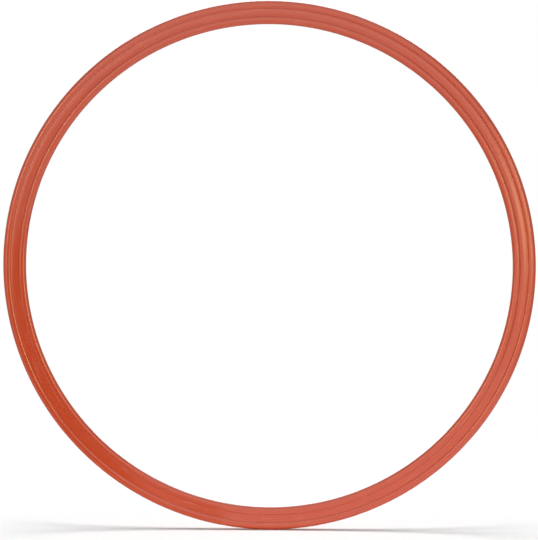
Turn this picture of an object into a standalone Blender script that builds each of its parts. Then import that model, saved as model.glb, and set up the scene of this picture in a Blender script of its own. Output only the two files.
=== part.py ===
"""Flat flying ring: a stiff core ring with a soft rim moulded over each of its two edges.

The ring stands upright. Its axis is Y, its front faces -Y and its centre is the origin. Sections are
drawn as (u, v) points in metres: u runs outward from the middle of the band, and v runs to the back.
"""

import math

import bmesh
import bpy

# Band
OUTER_DIAMETER = 0.330
BAND_WIDTH = 0.0143
RIM_THICKNESS = 0.0042
CORE_THICKNESS = 0.0030
GROOVE_THICKNESS = 0.0027
CREST_LAND = 0.0005
EDGE_WIDTH = 0.00255
FLANK_RADIUS = 0.0023

# Grip between the core's tongues and the rims moulded over them
MOULD_GAP = 0.0002
TONGUE_THICKNESS = 0.0008
LIP_THICKNESS = 0.0018
LIP_LENGTH = 0.0008
EDGE_COVER = 0.0016

# Fineness of the round shapes
RING_STEPS = 80
FLANK_STEPS = 3
EDGE_STEPS = 3
CROWN_STEPS = 2

# Colours, as sRGB hex
CORE_COLOUR = "B8452B"
RIM_COLOUR = "BA472C"

# Derived places across the band, all measured from its middle
HALF_BAND = BAND_WIDTH / 2
CREST_END = HALF_BAND - EDGE_WIDTH
CREST_START = CREST_END - CREST_LAND
FLANK_CENTRE = FLANK_RADIUS - RIM_THICKNESS / 2
GROOVE_ANGLE = math.asin((GROOVE_THICKNESS / 2 + FLANK_CENTRE) / FLANK_RADIUS)
GROOVE = CREST_START - FLANK_RADIUS * math.cos(GROOVE_ANGLE)
SLOT_END = HALF_BAND - EDGE_COVER
LIP_END = SLOT_END - MOULD_GAP
LIP_START = LIP_END - LIP_LENGTH
SLOT_STEP = LIP_START - MOULD_GAP
SHOULDER = GROOVE - MOULD_GAP
MIDDLE_RADIUS = OUTER_DIAMETER / 2 - HALF_BAND


def arc(centre_u, centre_v, radius_u, radius_v, start, end, steps):
    """Points on a round or oval arc, ends included. Angles run from +u towards -v, the front."""
    points = []
    for step in range(steps + 1):
        angle = start + (end - start) * step / steps
        points.append((centre_u + radius_u * math.cos(angle), centre_v - radius_v * math.sin(angle)))
    return points


def to_back(points):
    """The same stretch of outline on the back, run the other way."""
    return [(u, -v) for u, v in reversed(points)]


def to_inside(points):
    """The same outline mirrored to the inner side of the band."""
    return [(-u, v) for u, v in points]


def rim_section():
    """Outer rim: a rounded bead with a slot for the tongue, wider where it takes the lip."""
    slot_half = LIP_THICKNESS / 2 + MOULD_GAP
    mouth_half = TONGUE_THICKNESS / 2 + MOULD_GAP
    front = [
        (SLOT_END, -slot_half),
        (SLOT_STEP, -slot_half),
        (SLOT_STEP, -mouth_half),
        (GROOVE, -mouth_half),
    ]
    flank_start = math.pi - GROOVE_ANGLE
    front += arc(CREST_START, FLANK_CENTRE, FLANK_RADIUS, FLANK_RADIUS, flank_start, math.pi / 2, FLANK_STEPS)
    front += arc(CREST_END, 0, EDGE_WIDTH, RIM_THICKNESS / 2, math.pi / 2, 0, EDGE_STEPS)[:-1]
    return front + [(HALF_BAND, 0)] + to_back(front)


def core_section():
    """Core: a low crown on both faces, with a tongue and a thicker lip along each edge."""
    rise = (CORE_THICKNESS - GROOVE_THICKNESS) / 2
    crown_radius = (SHOULDER ** 2 + rise ** 2) / (2 * rise)
    sweep = math.asin(SHOULDER / crown_radius)
    crown_centre = crown_radius - CORE_THICKNESS / 2
    crown_end = math.pi / 2 - sweep
    front = arc(0, crown_centre, crown_radius, crown_radius, math.pi / 2, crown_end, CROWN_STEPS)[1:]
    front += [
        (SHOULDER, -TONGUE_THICKNESS / 2),
        (LIP_START, -TONGUE_THICKNESS / 2),
        (LIP_START, -LIP_THICKNESS / 2),
        (LIP_END, -LIP_THICKNESS / 2),
    ]
    outer_side = front + to_back(front)
    inner_side = to_inside(outer_side)
    return [(0, -CORE_THICKNESS / 2)] + outer_side + [(0, CORE_THICKNESS / 2)] + inner_side[::-1]


def plastic(name, hex_colour, roughness):
    """Coloured plastic with the given sRGB colour and roughness."""
    channels = [int(hex_colour[place:place + 2], 16) / 255 for place in (0, 2, 4)]
    linear = [c / 12.92 if c <= 0.04045 else ((c + 0.055) / 1.055) ** 2.4 for c in channels]
    material = bpy.data.materials.new(name)
    material.use_nodes = True
    shader = material.node_tree.nodes["Principled BSDF"]
    shader.inputs["Base Color"].default_value = (*linear, 1)
    shader.inputs["Roughness"].default_value = roughness
    shader.inputs["Metallic"].default_value = 0
    return material


def turned_ring(name, section, material, parent):
    """Turn a closed section round the ring's axis into one solid."""
    shape = bmesh.new()
    corners = [shape.verts.new((MIDDLE_RADIUS + u, v, 0)) for u, v in section]
    sides = [shape.edges.new((a, b)) for a, b in zip(corners, corners[1:] + corners[:1])]
    bmesh.ops.spin(
        shape,
        geom=corners + sides,
        cent=(0, 0, 0),
        axis=(0, 1, 0),
        angle=math.tau,
        steps=RING_STEPS,
        use_merge=True,
    )
    bmesh.ops.recalc_face_normals(shape, faces=shape.faces)
    mesh = bpy.data.meshes.new(name)
    shape.to_mesh(mesh)
    shape.free()
    mesh.shade_smooth()
    mesh.set_sharp_from_angle(angle=math.radians(40))
    mesh.materials.append(material)
    ring = bpy.data.objects.new(name, mesh)
    ring.parent = parent
    bpy.context.collection.objects.link(ring)
    return ring


def main():
    for old in list(bpy.data.objects):
        bpy.data.objects.remove(old)
    centre = bpy.data.objects.new("ring_centre", None)
    bpy.context.collection.objects.link(centre)
    turned_ring("core_ring", core_section(), plastic("stiff_plastic", CORE_COLOUR, 0.42), centre)
    rim = rim_section()
    turned_ring("outer_rim", rim, plastic("soft_outer_plastic", RIM_COLOUR, 0.48), centre)
    turned_ring("inner_rim", to_inside(rim), plastic("soft_inner_plastic", RIM_COLOUR, 0.48), centre)


main()
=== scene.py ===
"""Looks of the flat flying ring: smooth core and rims, moulded plastic and a white studio."""

import math

import bmesh
import bpy
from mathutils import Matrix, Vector


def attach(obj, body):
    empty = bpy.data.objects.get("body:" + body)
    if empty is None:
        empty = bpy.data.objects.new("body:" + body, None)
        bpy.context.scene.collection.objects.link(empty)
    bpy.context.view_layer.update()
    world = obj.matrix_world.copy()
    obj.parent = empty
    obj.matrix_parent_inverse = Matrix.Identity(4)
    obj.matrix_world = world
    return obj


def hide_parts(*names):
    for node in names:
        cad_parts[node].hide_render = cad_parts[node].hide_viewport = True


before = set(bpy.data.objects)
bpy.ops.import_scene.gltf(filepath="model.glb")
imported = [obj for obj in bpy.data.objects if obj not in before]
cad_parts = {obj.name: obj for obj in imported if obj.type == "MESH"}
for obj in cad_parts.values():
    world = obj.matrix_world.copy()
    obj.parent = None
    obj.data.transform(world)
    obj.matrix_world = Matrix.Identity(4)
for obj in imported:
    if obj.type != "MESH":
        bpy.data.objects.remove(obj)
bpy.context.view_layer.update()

# Sizes in metres, as on the solids
OUTER_RADIUS = 0.165
BAND_WIDTH = 0.0143
RIM_THICKNESS = 0.0042
CORE_THICKNESS = 0.0030
GROOVE_THICKNESS = 0.0027
CREST_LAND = 0.0005
EDGE_WIDTH = 0.00255
FLANK_RADIUS = 0.0023
TONGUE_THICKNESS = 0.0008
LIP_THICKNESS = 0.0018
LIP_LENGTH = 0.0008
EDGE_COVER = 0.0016
# Hairline left between the core and the rims that are moulded onto it
SEAM = 0.00002
# Softened corner on either side of the seam
CORNER_RADIUS = 0.00005

# Fineness of the round shapes
RING_STEPS = 480
FLANK_STEPS = 10
EDGE_STEPS = 14
CROWN_STEPS = 12
CORNER_STEPS = 4
# Edges that turn more sharply than this stay crisp
CRISP_ANGLE = math.radians(40)
# How near two places count as the same
SAME_PLACE = 1e-6

# Places across the band, measured outward from its middle
HALF_BAND = BAND_WIDTH / 2
MIDDLE_RADIUS = OUTER_RADIUS - HALF_BAND
CREST_END = HALF_BAND - EDGE_WIDTH
CREST_START = CREST_END - CREST_LAND
FLANK_CENTRE = FLANK_RADIUS - RIM_THICKNESS / 2
GROOVE_ANGLE = math.asin((GROOVE_THICKNESS / 2 + FLANK_CENTRE) / FLANK_RADIUS)
GROOVE = CREST_START - FLANK_RADIUS * math.cos(GROOVE_ANGLE)
SHOULDER = GROOVE - SEAM
SLOT_END = HALF_BAND - EDGE_COVER
LIP_END = SLOT_END - SEAM
LIP_START = LIP_END - LIP_LENGTH
SLOT_STEP = LIP_START - SEAM

# Colours, as sRGB hex
ORANGE = "A83A13"
DEEP_ORANGE = "A23610"
RUBBED_ORANGE = "D98A6C"
CARD_WHITE = "E6E6E6"
WHITE_LIGHT = "FFFFFF"
WARM_LIGHT = "FFE2A8"

# Plastic: refraction, the spread of its roughness and the depth of the turned marks in metres
PLASTIC_IOR = 1.5
ROUGHNESS_SPREAD = 0.03
MARK_DEPTH = 0.000008

# Round floor card, and how far out its lift to white begins
FLOOR_RADIUS = 0.34
LIFT_START = 0.16

# The photograph's frame and view, with angles in degrees
IMAGE_WIDTH = 538
SENSOR_WIDTH = 36
FOCAL_PIXELS = 2260.5
CAMERA_DISTANCE = 1.4
CAMERA_AZIMUTH = 1.79
CAMERA_ELEVATION = 7.27
CAMERA_TARGET = Vector((0.00025, 0, -0.00064))


def arc(centre_u, centre_v, radius_u, radius_v, start, end, steps):
    """Points on a round or oval arc, ends included. Angles run from outward to the front."""
    turn = (end - start) / steps
    angles = [start + turn * step for step in range(steps + 1)]
    return [(centre_u + radius_u * math.cos(a), centre_v - radius_v * math.sin(a)) for a in angles]


def to_back(points):
    """The same stretch of outline on the back, run the other way."""
    return [(u, -v) for u, v in reversed(points)]


def to_inside(points):
    """The same outline on the inner side of the band."""
    return [(-u, v) for u, v in points]


def rim_section():
    """Rounded bead with a slot that holds the core's tongue and its lip."""
    slot_half = LIP_THICKNESS / 2 + SEAM
    mouth_half = TONGUE_THICKNESS / 2 + SEAM
    flank_start = math.pi - GROOVE_ANGLE
    front = [
        (SLOT_END, -slot_half),
        (SLOT_STEP, -slot_half),
        (SLOT_STEP, -mouth_half),
        (GROOVE, -mouth_half),
    ]
    flank = (CREST_START, FLANK_CENTRE, FLANK_RADIUS, FLANK_RADIUS)
    front += arc(*flank, flank_start, math.pi / 2, FLANK_STEPS)
    front += arc(CREST_END, 0, EDGE_WIDTH, RIM_THICKNESS / 2, math.pi / 2, 0, EDGE_STEPS)[:-1]
    return front + [(HALF_BAND, 0)] + to_back(front)


def core_section():
    """Low crown on both faces, with a lipped tongue along each edge."""
    rise = (CORE_THICKNESS - GROOVE_THICKNESS) / 2
    crown_radius = (SHOULDER ** 2 + rise ** 2) / (2 * rise)
    crown_end = math.pi / 2 - math.asin(SHOULDER / crown_radius)
    crown_centre = crown_radius - CORE_THICKNESS / 2
    crown = (0, crown_centre, crown_radius, crown_radius)
    front = arc(*crown, math.pi / 2, crown_end, CROWN_STEPS)[1:]
    front += [(SHOULDER, -TONGUE_THICKNESS / 2), (LIP_START, -TONGUE_THICKNESS / 2)]
    front += [(LIP_START, -LIP_THICKNESS / 2), (LIP_END, -LIP_THICKNESS / 2)]
    outer_side = front + to_back(front)
    inner_side = to_inside(outer_side)[::-1]
    return [(0, -CORE_THICKNESS / 2)] + outer_side + [(0, CORE_THICKNESS / 2)] + inner_side


def turned_ring(name, section, groove_edge, material):
    """Turn a section round the ring's axis, with the corners at the groove softened first."""
    shape = bmesh.new()
    corners = [shape.verts.new((MIDDLE_RADIUS + u, v, 0)) for u, v in section]
    shape.faces.new(corners)
    at_groove = [
        corner
        for corner in corners
        if abs(abs(corner.co.x - MIDDLE_RADIUS) - groove_edge) < SAME_PLACE
        and abs(abs(corner.co.y) - GROOVE_THICKNESS / 2) < SAME_PLACE
    ]
    bmesh.ops.bevel(
        shape,
        geom=at_groove,
        offset=CORNER_RADIUS,
        segments=CORNER_STEPS,
        profile=0.5,
        affect="VERTICES",
        material=-1,
    )
    bmesh.ops.delete(shape, geom=shape.faces[:], context="FACES_ONLY")
    bmesh.ops.spin(
        shape,
        geom=shape.verts[:] + shape.edges[:],
        cent=(0, 0, 0),
        axis=(0, 1, 0),
        angle=math.tau,
        steps=RING_STEPS,
        use_merge=True,
    )
    bmesh.ops.recalc_face_normals(shape, faces=shape.faces)
    mesh = bpy.data.meshes.new(name)
    shape.to_mesh(mesh)
    shape.free()
    mesh.shade_smooth()
    mesh.set_sharp_from_angle(angle=CRISP_ANGLE)
    mesh.materials.append(material)
    ring = bpy.data.objects.new(name, mesh)
    bpy.context.collection.objects.link(ring)
    return ring


def colour(hex_code):
    """Linear RGBA from an sRGB hex value."""
    channels = [int(hex_code[place:place + 2], 16) / 255 for place in (0, 2, 4)]
    return [c / 12.92 if c <= 0.04045 else ((c + 0.055) / 1.055) ** 2.4 for c in channels] + [1]


def add(tree, kind, inputs=None, **settings):
    """Add a node with its settings, and fill its inputs with values or other nodes' outputs."""
    node = tree.nodes.new(kind)
    for name, value in settings.items():
        setattr(node, name, value)
    for key, value in (inputs or {}).items():
        if isinstance(value, bpy.types.NodeSocket):
            tree.links.new(value, node.inputs[key])
        else:
            node.inputs[key].default_value = value
    return node


def moulded_plastic(name, base, deep, rubbed, roughness):
    """Satin moulded plastic, with the turned marks of its mould running round the ring."""
    material = bpy.data.materials.new(name)
    material.use_nodes = True
    tree = material.node_tree
    shader = tree.nodes["Principled BSDF"]
    shader.inputs["IOR"].default_value = PLASTIC_IOR
    place = add(tree, "ShaderNodeTexCoord").outputs["Object"]
    depth = add(tree, "ShaderNodeSeparateXYZ", {"Vector": place}).outputs["Y"]
    # The place split into a direction round the ring and a distance from its axis
    flat = {0: place, 1: (1, 0, 1)}
    flat = add(tree, "ShaderNodeVectorMath", flat, operation="MULTIPLY").outputs["Vector"]
    radius = add(tree, "ShaderNodeVectorMath", {0: flat}, operation="LENGTH").outputs["Value"]
    way = add(tree, "ShaderNodeVectorMath", {0: flat}, operation="NORMALIZE").outputs["Vector"]

    def streaks(width_mm, length_mm, detail):
        """Noise drawn out along the ring, about this wide across it and this long round it."""
        across = 1000 / width_mm
        along = MIDDLE_RADIUS * 1000 / length_mm
        round_it = {0: way, "Scale": along}
        round_it = add(tree, "ShaderNodeVectorMath", round_it, operation="SCALE").outputs["Vector"]
        outward = {0: radius, 1: across}
        outward = add(tree, "ShaderNodeMath", outward, operation="MULTIPLY").outputs["Value"]
        outward = add(tree, "ShaderNodeCombineXYZ", {"Y": outward}).outputs["Vector"]
        vector = {0: round_it, 1: outward}
        vector = add(tree, "ShaderNodeVectorMath", vector, operation="ADD").outputs["Vector"]
        behind = {0: depth, 1: across}
        behind = add(tree, "ShaderNodeMath", behind, operation="MULTIPLY").outputs["Value"]
        noise = {"Vector": vector, "W": behind, "Scale": 1, "Detail": detail}
        return add(tree, "ShaderNodeTexNoise", noise, noise_dimensions="4D").outputs["Fac"]

    # Turned marks are about 0.1 mm apart in a real mould, and are drawn at 1.6 mm so that they show
    marks = streaks(1.6, 90, 0)
    # Pigment that did not mix quite evenly, in clouds about 30 mm long
    clouds = streaks(6, 30, 2)
    # Rubbed places from handling, a few millimetres long
    rubs = streaks(1.2, 14, 0)
    rubbing = {"Value": rubs, "From Min": 0.62, "From Max": 0.80, "To Min": 0, "To Max": 0.08}
    rubbing = add(tree, "ShaderNodeMapRange", rubbing).outputs["Result"]

    # A Mix node's inputs 6 and 7 and its output 2 are its colours
    body = {0: clouds, 6: colour(deep), 7: colour(base)}
    body = add(tree, "ShaderNodeMix", body, data_type="RGBA").outputs[2]
    worn = {0: rubbing, 6: body, 7: colour(rubbed)}
    worn = add(tree, "ShaderNodeMix", worn, data_type="RGBA").outputs[2]
    tree.links.new(worn, shader.inputs["Base Color"])

    low, high = roughness - ROUGHNESS_SPREAD, roughness + ROUGHNESS_SPREAD
    satin = {"Value": marks, "From Min": 0.3, "From Max": 0.7, "To Min": low, "To Max": high}
    satin = add(tree, "ShaderNodeMapRange", satin).outputs["Result"]
    satin = add(tree, "ShaderNodeMath", {0: satin, 1: rubbing}, operation="ADD").outputs["Value"]
    tree.links.new(satin, shader.inputs["Roughness"])

    relief = {"Height": marks, "Strength": 1, "Distance": MARK_DEPTH}
    bump = add(tree, "ShaderNodeBump", relief).outputs["Normal"]
    tree.links.new(bump, shader.inputs["Normal"])
    return material


def studio_mesh(name, shape, material):
    """Studio surface that isn't part of the ring."""
    mesh = bpy.data.meshes.new(name)
    shape.to_mesh(mesh)
    shape.free()
    mesh.materials.append(material)
    surface = bpy.data.objects.new(name, mesh)
    bpy.context.collection.objects.link(surface)
    return surface


def seen_directly(tree):
    """One for rays that show the studio, straight or in a reflection, and zero for the rest."""
    seen = add(tree, "ShaderNodeLightPath").outputs
    shown = {0: seen["Is Camera Ray"], 1: seen["Is Glossy Ray"]}
    shown = add(tree, "ShaderNodeMath", shown, operation="MAXIMUM").outputs["Value"]
    shown = {0: shown, 1: seen["Is Transmission Ray"]}
    return add(tree, "ShaderNodeMath", shown, operation="MAXIMUM").outputs["Value"]


def white_floor(level):
    """Round white card that keeps the ring's shadow and is lifted to white towards its edge."""
    material = bpy.data.materials.new("white_card")
    material.use_nodes = True
    tree = material.node_tree
    tree.nodes.clear()
    place = add(tree, "ShaderNodeTexCoord").outputs["Object"]
    flat = {0: place, 1: (1, 1, 0)}
    flat = add(tree, "ShaderNodeVectorMath", flat, operation="MULTIPLY").outputs["Vector"]
    reach = add(tree, "ShaderNodeVectorMath", {0: flat}, operation="LENGTH").outputs["Value"]
    span = {"Value": reach, "From Min": LIFT_START, "From Max": FLOOR_RADIUS}
    lift = {**span, "To Min": 0.02, "To Max": 0.25}
    lift = add(tree, "ShaderNodeMapRange", lift).outputs["Result"]
    lift = {0: lift, 1: seen_directly(tree)}
    lift = add(tree, "ShaderNodeMath", lift, operation="MULTIPLY").outputs["Value"]
    paper = add(tree, "ShaderNodeBsdfDiffuse", {"Color": colour(CARD_WHITE)}).outputs["BSDF"]
    glow = add(tree, "ShaderNodeEmission", {"Strength": lift}).outputs["Emission"]
    both = add(tree, "ShaderNodeAddShader", {0: paper, 1: glow}).outputs["Shader"]
    add(tree, "ShaderNodeOutputMaterial", {"Surface": both})
    shape = bmesh.new()
    bmesh.ops.create_circle(shape, cap_ends=True, segments=96, radius=FLOOR_RADIUS)
    bmesh.ops.translate(shape, verts=shape.verts, vec=(0, 0, level))
    return studio_mesh("studio_floor", shape, material)


def white_surround(level):
    """White room, which lights the ring evenly at the given level."""
    world = bpy.data.worlds.new("white_room")
    bpy.context.scene.world = world
    world.use_nodes = True
    tree = world.node_tree
    tree.nodes.clear()
    strength = {"Value": seen_directly(tree), "To Min": level, "To Max": 1}
    strength = add(tree, "ShaderNodeMapRange", strength).outputs["Result"]
    glow = add(tree, "ShaderNodeBackground", {"Color": colour(WHITE_LIGHT), "Strength": strength})
    add(tree, "ShaderNodeOutputWorld", {"Surface": glow.outputs["Background"]})


def towards(azimuth, elevation):
    """Direction from the ring, in degrees, with azimuth to the right of its front."""
    turn, lift = math.radians(azimuth), math.radians(elevation)
    level = math.cos(lift)
    return Vector((math.sin(turn) * level, -math.cos(turn) * level, math.sin(lift)))


def softbox(name, azimuth, elevation, distance, width, height, watts, tint, lit):
    """Rectangular soft light aimed at the ring, unseen itself, on the lit collection alone."""
    lamp = bpy.data.lights.new(name, "AREA")
    lamp.shape = "RECTANGLE"
    lamp.size = width
    lamp.size_y = height
    lamp.energy = watts
    lamp.color = colour(tint)[:3]
    holder = bpy.data.objects.new(name, lamp)
    direction = towards(azimuth, elevation)
    holder.location = direction * distance
    holder.rotation_euler = direction.to_track_quat("Z", "Y").to_euler()
    holder.visible_camera = False
    holder.light_linking.receiver_collection = lit
    bpy.context.collection.objects.link(holder)
    return holder


def shine_card(name, left, right, near, far, strength):
    """Card between two level edges, each a (y, z) place, that shows only in the ring's shine."""
    material = bpy.data.materials.new(name)
    material.use_nodes = True
    tree = material.node_tree
    tree.nodes.clear()
    glow = add(tree, "ShaderNodeEmission", {"Strength": strength}).outputs["Emission"]
    add(tree, "ShaderNodeOutputMaterial", {"Surface": glow})
    shape = bmesh.new()
    edge = shape.edges.new([shape.verts.new((x, *near)) for x in (left, right)])
    grown = bmesh.ops.extrude_edge_only(shape, edges=[edge])["geom"]
    moved = [part for part in grown if isinstance(part, bmesh.types.BMVert)]
    bmesh.ops.translate(shape, verts=moved, vec=(0, far[0] - near[0], far[1] - near[1]))
    card = studio_mesh(name, shape, material)
    card.visible_camera = False
    card.visible_diffuse = False
    card.visible_shadow = False


def photo_camera():
    """Camera at the photograph's viewing angle."""
    lens = bpy.data.cameras.new("photo_camera")
    lens.sensor_fit = "HORIZONTAL"
    lens.sensor_width = SENSOR_WIDTH
    lens.lens = FOCAL_PIXELS * SENSOR_WIDTH / IMAGE_WIDTH
    camera = bpy.data.objects.new("photo_camera", lens)
    camera.location = towards(CAMERA_AZIMUTH, CAMERA_ELEVATION) * CAMERA_DISTANCE
    aim = camera.location - CAMERA_TARGET
    camera.rotation_euler = aim.to_track_quat("Z", "Y").to_euler()
    bpy.context.collection.objects.link(camera)
    bpy.context.scene.camera = camera


def main():
    bpy.context.scene.view_settings.view_transform = "Standard"
    shades = (ORANGE, DEEP_ORANGE, RUBBED_ORANGE)
    # Polypropylene core: stiff, with a satin shine on its crown
    stiff = moulded_plastic("moulded_polypropylene", *shades, 0.20)
    # Soft elastomer rims: the same colour, a little more matt
    soft_outer = moulded_plastic("soft_outer_elastomer", *shades, 0.21)
    soft_inner = moulded_plastic("soft_inner_elastomer", *shades, 0.21)
    rim = rim_section()
    rings = [
        ("core_band", core_section(), SHOULDER, stiff, "core_ring", "core_plastic"),
        ("outer_bead", rim, GROOVE, soft_outer, "outer_rim", "outer_soft_plastic"),
        ("inner_bead", to_inside(rim), GROOVE, soft_inner, "inner_rim", "inner_soft_plastic"),
    ]
    pieces = bpy.data.collections.new("ring_pieces")
    for name, section, groove_edge, material, node, slot in rings:
        ring = turned_ring(name, section, groove_edge, material)
        pieces.objects.link(ring)
        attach(ring, "root")
        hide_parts(node)
    floor = white_floor(-OUTER_RADIUS)
    white_surround(0.3)
    ground = bpy.data.collections.new("ground")
    ground.objects.link(floor)
    softbox("front_softbox", -2, 33, 1.5, 1.8, 2.0, 15.8, WHITE_LIGHT, pieces)
    softbox("back_softbox", 180, 30, 1.6, 1.2, 1.2, 20, WHITE_LIGHT, pieces)
    # Light that a broad white floor sends up, which only the ring blocks
    bounce = softbox("floor_bounce", 0, -64, 2.0, 2.4, 1.2, 13, WHITE_LIGHT, pieces)
    bounce.light_linking.blocker_collection = pieces
    # Warm lamps at both sides draw the lines of shine along the beads
    softbox("left_softbox", -31, 5, 2.2, 0.45, 1.0, 11.5, WARM_LIGHT, pieces)
    softbox("right_softbox", 31, 2, 2.2, 0.45, 0.77, 8.9, WARM_LIGHT, pieces)
    softbox("right_fill", 21, -2.5, 0.7, 0.12, 0.12, 0.36, WARM_LIGHT, pieces)
    # The lamp overhead draws the ring's shadow, and its oval shape lets the shadow fade out
    overhead = softbox("overhead_softbox", 180, 89, 1.2, 0.9, 0.5, 19.8, WHITE_LIGHT, ground)
    overhead.data.shape = "ELLIPSE"
    # Cards that the ring's shine mirrors: a dark one at the lower left, bright ones below and above
    shine_card("dark_card", -0.20, -0.09, (-0.06, -0.164), (-0.16, 0), 0.3)
    shine_card("floor_card", -0.03, 0.30, (-0.004, -0.164), (-0.50, -0.12), 1.9)
    shine_card("front_card", -0.12, 0.18, (-0.52, -0.12), (-1.3, 0.10), 1.75)
    shine_card("ceiling_card", -0.5, 0.5, (0.05, 0.75), (-0.75, 0.75), 1.8)
    photo_camera()


main()
